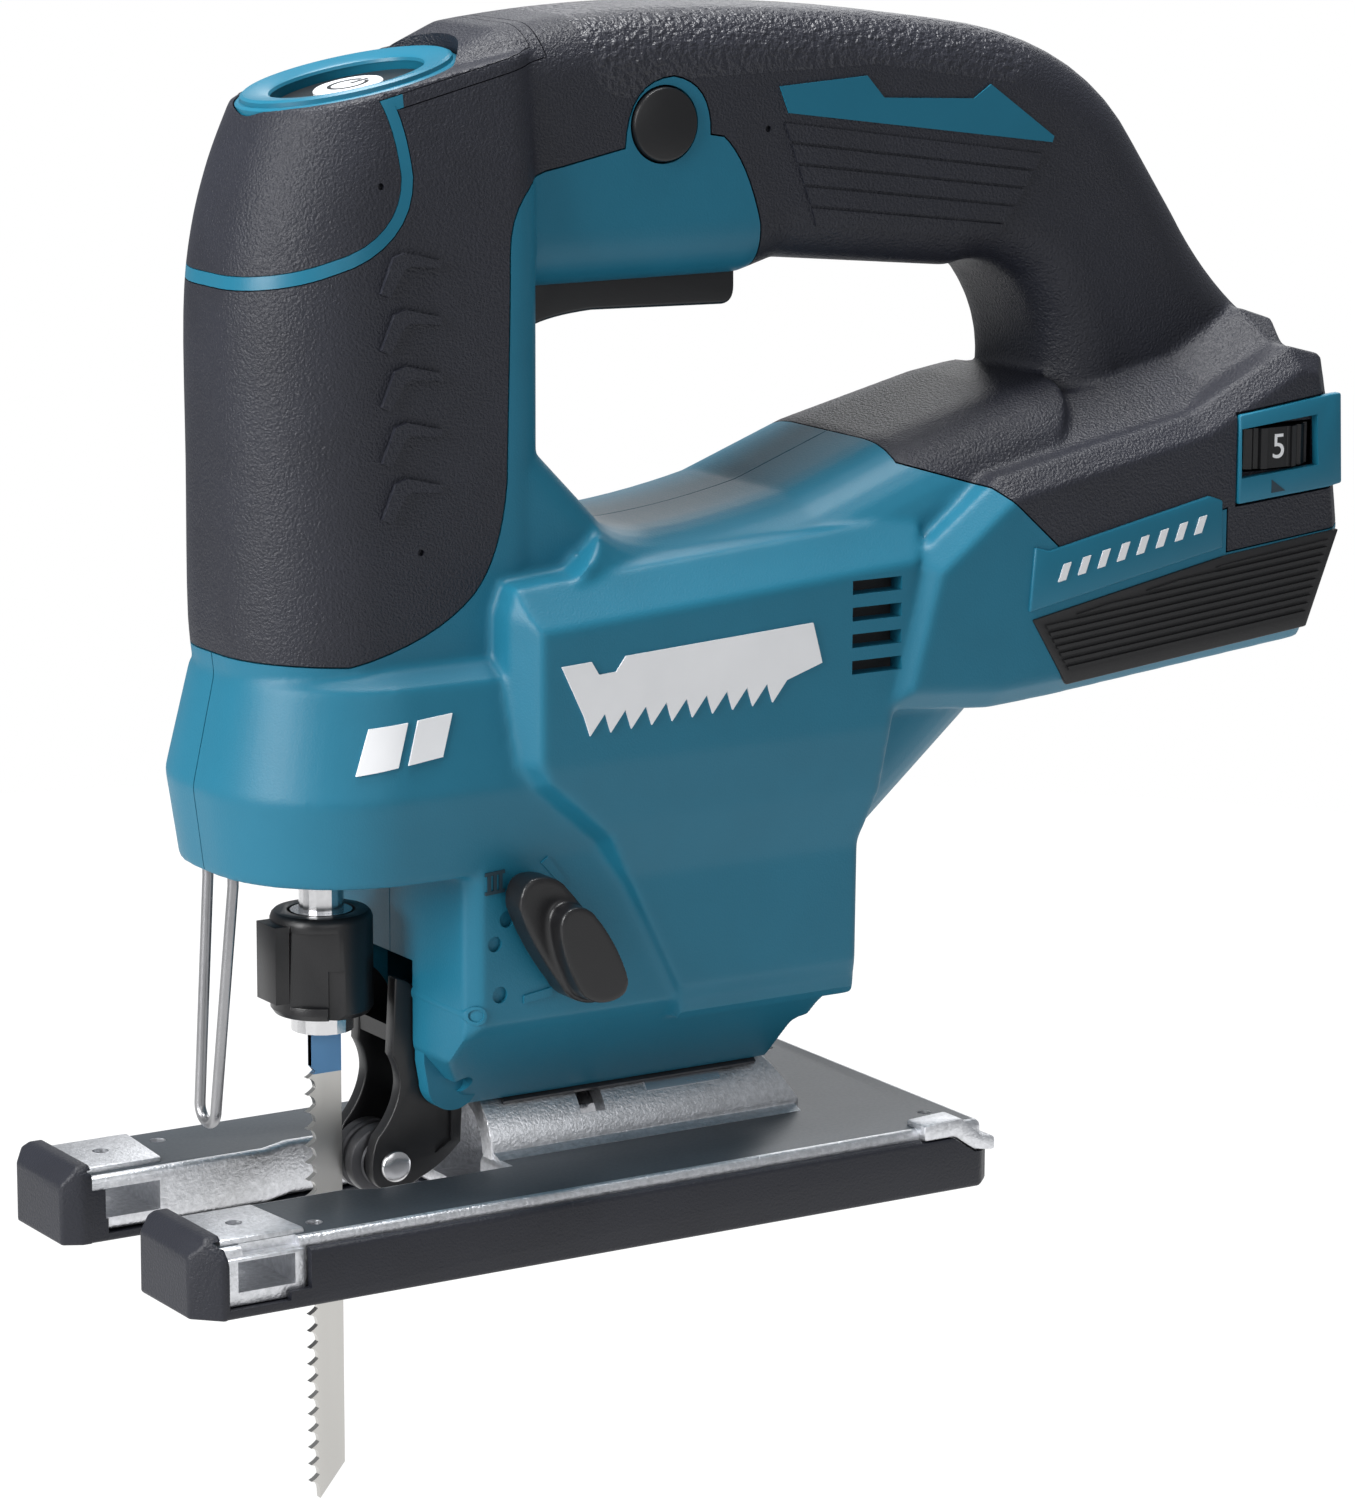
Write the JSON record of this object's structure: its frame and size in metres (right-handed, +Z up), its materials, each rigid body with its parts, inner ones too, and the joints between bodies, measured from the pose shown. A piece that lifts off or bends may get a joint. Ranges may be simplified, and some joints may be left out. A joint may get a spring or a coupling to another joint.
{
  "type": "cordless jigsaw",
  "caption": "Cordless D-handle jigsaw: bevelling base, orbital roller, reciprocating blade in a quick clamp, trigger, lock-off button and speed dial, without its battery.",
  "frame": {"origin": "underside of the base (sole), at the middle of its length and width", "axes": "+X to the rear of the tool, +Z up from the sole, -Y to the tool's left side"},
  "size_m": [0.2451, 0.0795, 0.2671],
  "materials": {
    "teal_shell": "fine grained",
    "black_rubber": "soft, grained",
    "black_plastic": "satin",
    "cast_alloy": "cast, fine grained",
    "steel": "ground",
    "dark_steel": "blackened",
    "copper": "bright",
    "board": "lacquered"
  },
  "bodies": {
    "housing": {"housing_left": "teal_shell", "housing_right": "teal_shell", "grip_cover_left": "black_rubber", "grip_cover_right": "black_rubber", "crown_cap": "black_rubber", "button_bezel": "teal_shell", "button_panel": "black_plastic", "speed_bezel": "teal_shell", "badge_left": "teal_shell", "badge_right": "teal_shell", "ribbed_panel_left": "black_plastic", "ribbed_panel_right": "black_plastic", "battery_rail": "black_plastic", "terminal_block": "black_plastic", "contact_left": "copper", "contact_right": "copper", "stator": "dark_steel", "front_bearing": "steel", "rear_bearing": "steel", "rear_bearing_bracket": "black_plastic", "gear_case": "cast_alloy", "crank_bearing": "steel", "fork_pin": "steel", "wire_guard": "steel", "switch_body": "black_plastic", "switch_stem": "black_plastic", "control_board": "board", "base_retainer": "steel", "base_bolt": "steel", "bolt_plate": "steel", "housing_screw_1": "dark_steel", "housing_screw_2": "dark_steel", "housing_screw_3": "dark_steel", "housing_screw_4": "dark_steel"},
    "crank": {"crank_gear": "steel", "crank_roller": "steel"},
    "rotor": {"rotor_shaft": "steel", "rotor_core": "dark_steel", "motor_pinion": "steel", "cooling_fan": "black_plastic"},
    "guide": {"plunger_guide": "cast_alloy", "dust_seal": "black_rubber"},
    "plunger": {"plunger_rod": "steel", "yoke": "steel", "clamp_core": "steel", "blade": "steel"},
    "sleeve": {"clamp_sleeve": "black_plastic"},
    "fork": {"roller_fork": "black_plastic", "roller_pin": "steel"},
    "roller": {"guide_roller": "steel"},
    "lever": {"orbital_lever": "black_plastic", "lever_spindle": "steel"},
    "carrier": {"bevel_saddle": "dark_steel"},
    "base": {"base_plate": "cast_alloy", "base_cover": "black_plastic", "base_clip_left": "steel"},
    "trigger": {"trigger": "black_plastic"},
    "lock": {"lock_button": "black_plastic"},
    "power": {"power_button": "black_plastic"},
    "dial": {"speed_dial": "black_plastic"}
  },
  "joints": [
    {"name": "crank_turn", "type": "hinge", "parent": "housing", "child": "crank", "pos_m": [0, 0, 0.0702], "axis": [1, 0, 0], "range_deg": [-90, 90]},
    {"name": "rotor_turn", "type": "hinge", "parent": "housing", "child": "rotor", "pos_m": [0, 0, 0.099], "axis": [1, 0, 0], "range_deg": [-450, 450]},
    {"name": "blade_orbit", "type": "hinge", "parent": "housing", "child": "guide", "pos_m": [-0.0379, 0, 0.1215], "axis": [0, 1, 0], "range_deg": [0, 1.4], "stiffness_Nm_per_rad": 2},
    {"name": "blade_stroke", "type": "slide", "parent": "guide", "child": "plunger", "axis": [0, 0, 1], "range_m": [-0.013, 0.013]},
    {"name": "clamp_twist", "type": "hinge", "parent": "plunger", "child": "sleeve", "pos_m": [-0.0379, 0, 0.05], "axis": [0, 0, 1], "range_deg": [0, 40], "stiffness_Nm_per_rad": 0.08},
    {"name": "fork_swing", "type": "hinge", "parent": "housing", "child": "fork", "pos_m": [-0.0176, 0, 0.0276], "axis": [0, 1, 0], "range_deg": [0, 10.4]},
    {"name": "roller_spin", "type": "hinge", "parent": "fork", "child": "roller", "pos_m": [-0.0277, 0, 0.0125], "axis": [0, 1, 0], "continuous": true},
    {"name": "orbital_setting", "type": "hinge", "parent": "housing", "child": "lever", "pos_m": [-0.0055, 0, 0.0535], "axis": [0, -1, 0], "range_deg": [0, 80]},
    {"name": "base_slide", "type": "slide", "parent": "housing", "child": "carrier", "axis": [1, 0, 0], "range_m": [0, 0.012]},
    {"name": "base_bevel", "type": "hinge", "parent": "carrier", "child": "base", "pos_m": [0, 0, 0.0125], "axis": [1, 0, 0], "range_deg": [-45, 45]},
    {"name": "trigger_pull", "type": "hinge", "parent": "housing", "child": "trigger", "pos_m": [0.001, 0, 0.172], "axis": [0, -1, 0], "range_deg": [0, 7], "stiffness_Nm_per_rad": 1.5, "springref_deg": -5.73},
    {"name": "lock_press", "type": "slide", "parent": "housing", "child": "lock", "axis": [0, 1, 0], "range_m": [0, 0.0028], "stiffness_N_per_m": 600, "springref_m": -0.001},
    {"name": "power_press", "type": "slide", "parent": "housing", "child": "power", "axis": [0.2055, 0, -0.9787], "range_m": [0, 0.0008], "stiffness_N_per_m": 900, "springref_m": -0.001},
    {"name": "speed_setting", "type": "hinge", "parent": "housing", "child": "dial", "pos_m": [0.145, -0.0252, 0.1328], "axis": [0, 0, 1], "range_deg": [-150, 150]}
  ],
  "couplings": [
    {"joint": "blade_stroke", "follows": "crank_turn", "m_per_rad": 0.0082761},
    {"joint": "rotor_turn", "follows": "crank_turn", "ratio": -5},
    {"joint": "fork_swing", "follows": "blade_orbit", "ratio": 7.4}
  ]
}
